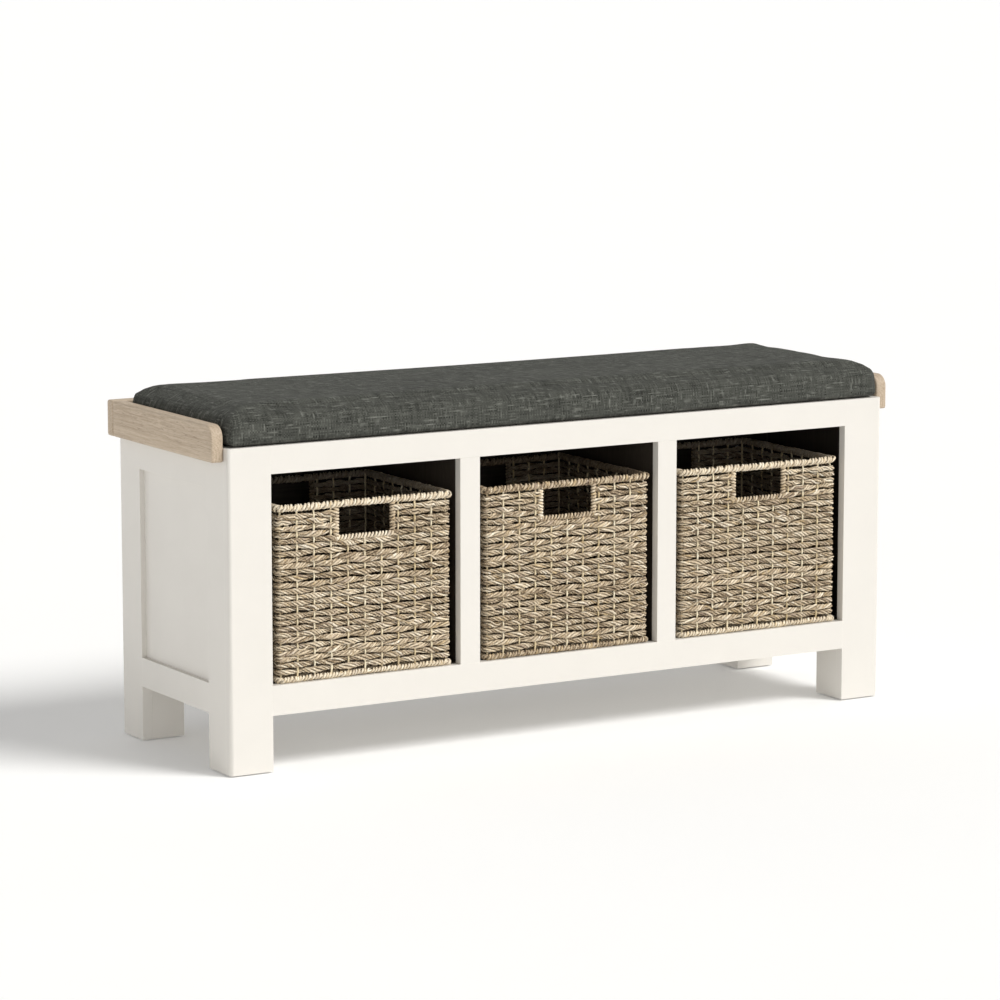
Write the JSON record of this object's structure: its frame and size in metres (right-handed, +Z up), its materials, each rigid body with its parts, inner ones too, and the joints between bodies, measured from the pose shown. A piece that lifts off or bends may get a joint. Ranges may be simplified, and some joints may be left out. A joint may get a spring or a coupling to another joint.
{
  "type": "entryway bench",
  "caption": "Entryway bench: ivory painted frame with open bays for woven baskets, a limed oak gallery round the seat and a lift-off charcoal cushion.",
  "frame": {"origin": "on the floor, under the middle of the bench", "axes": "+X along the bench to its right end, +Y to the back, +Z up"},
  "size_m": [1.1, 0.334, 0.4953],
  "materials": {
    "ivory_paint": "satin",
    "umber_stain": "matte",
    "limed_oak": "matte",
    "beech": "matte",
    "plywood": "matte",
    "zinc_steel": "satin",
    "glide_plastic": "matte",
    "charcoal_linen": "matte",
    "foam": "matte",
    "seagrass": "matte"
  },
  "bodies": {
    "frame": {"front_left_stile": "ivory_paint", "front_right_stile": "ivory_paint", "front_top_rail": "ivory_paint", "front_bottom_rail": "ivory_paint", "left_divider_stile": "ivory_paint", "right_divider_stile": "ivory_paint", "left_side_front_stile": "ivory_paint", "left_side_back_stile": "ivory_paint", "left_side_top_rail": "ivory_paint", "left_side_bottom_rail": "ivory_paint", "left_side_panel": "ivory_paint", "right_side_front_stile": "ivory_paint", "right_side_back_stile": "ivory_paint", "right_side_top_rail": "ivory_paint", "right_side_bottom_rail": "ivory_paint", "right_side_panel": "ivory_paint", "back_left_stile": "ivory_paint", "back_right_stile": "ivory_paint", "back_top_rail": "ivory_paint", "back_bottom_rail": "ivory_paint", "back_panel": "ivory_paint", "front_left_leg_block": "ivory_paint", "front_right_leg_block": "ivory_paint", "back_left_leg_block": "ivory_paint", "back_right_leg_block": "ivory_paint", "left_divider": "umber_stain", "right_divider": "umber_stain", "bottom_shelf": "ivory_paint", "seat_deck": "ivory_paint", "corner_blocks": "beech", "left_oak_rail": "limed_oak", "right_oak_rail": "limed_oak", "back_oak_rail": "limed_oak", "frame_dowels": "beech", "oak_dowels": "beech", "oak_screws": "zinc_steel", "deck_screws": "zinc_steel", "leg_block_screws": "zinc_steel", "back_panel_screws": "zinc_steel", "floor_glides": "glide_plastic"},
    "seat": {"cushion_cover": "charcoal_linen", "cushion_foam": "foam", "cushion_board": "plywood"},
    "left_basket": {"left_basket_weave": "seagrass", "left_basket_rim": "seagrass", "left_basket_border": "seagrass", "left_basket_base": "seagrass", "left_basket_wire": "zinc_steel"},
    "middle_basket": {"middle_basket_weave": "seagrass", "middle_basket_rim": "seagrass", "middle_basket_border": "seagrass", "middle_basket_base": "seagrass", "middle_basket_wire": "zinc_steel"},
    "right_basket": {"right_basket_weave": "seagrass", "right_basket_rim": "seagrass", "right_basket_border": "seagrass", "right_basket_base": "seagrass", "right_basket_wire": "zinc_steel"}
  },
  "joints": [
    {"name": "cushion_lift", "type": "slide", "parent": "frame", "child": "seat", "axis": [0, 0, 1], "range_m": [0, 0.15]},
    {"name": "left_basket_slide", "type": "slide", "parent": "frame", "child": "left_basket", "axis": [0, -1, 0], "range_m": [0, 0.26]},
    {"name": "middle_basket_slide", "type": "slide", "parent": "frame", "child": "middle_basket", "axis": [0, -1, 0], "range_m": [0, 0.26]},
    {"name": "right_basket_slide", "type": "slide", "parent": "frame", "child": "right_basket", "axis": [0, -1, 0], "range_m": [0, 0.26]}
  ]
}
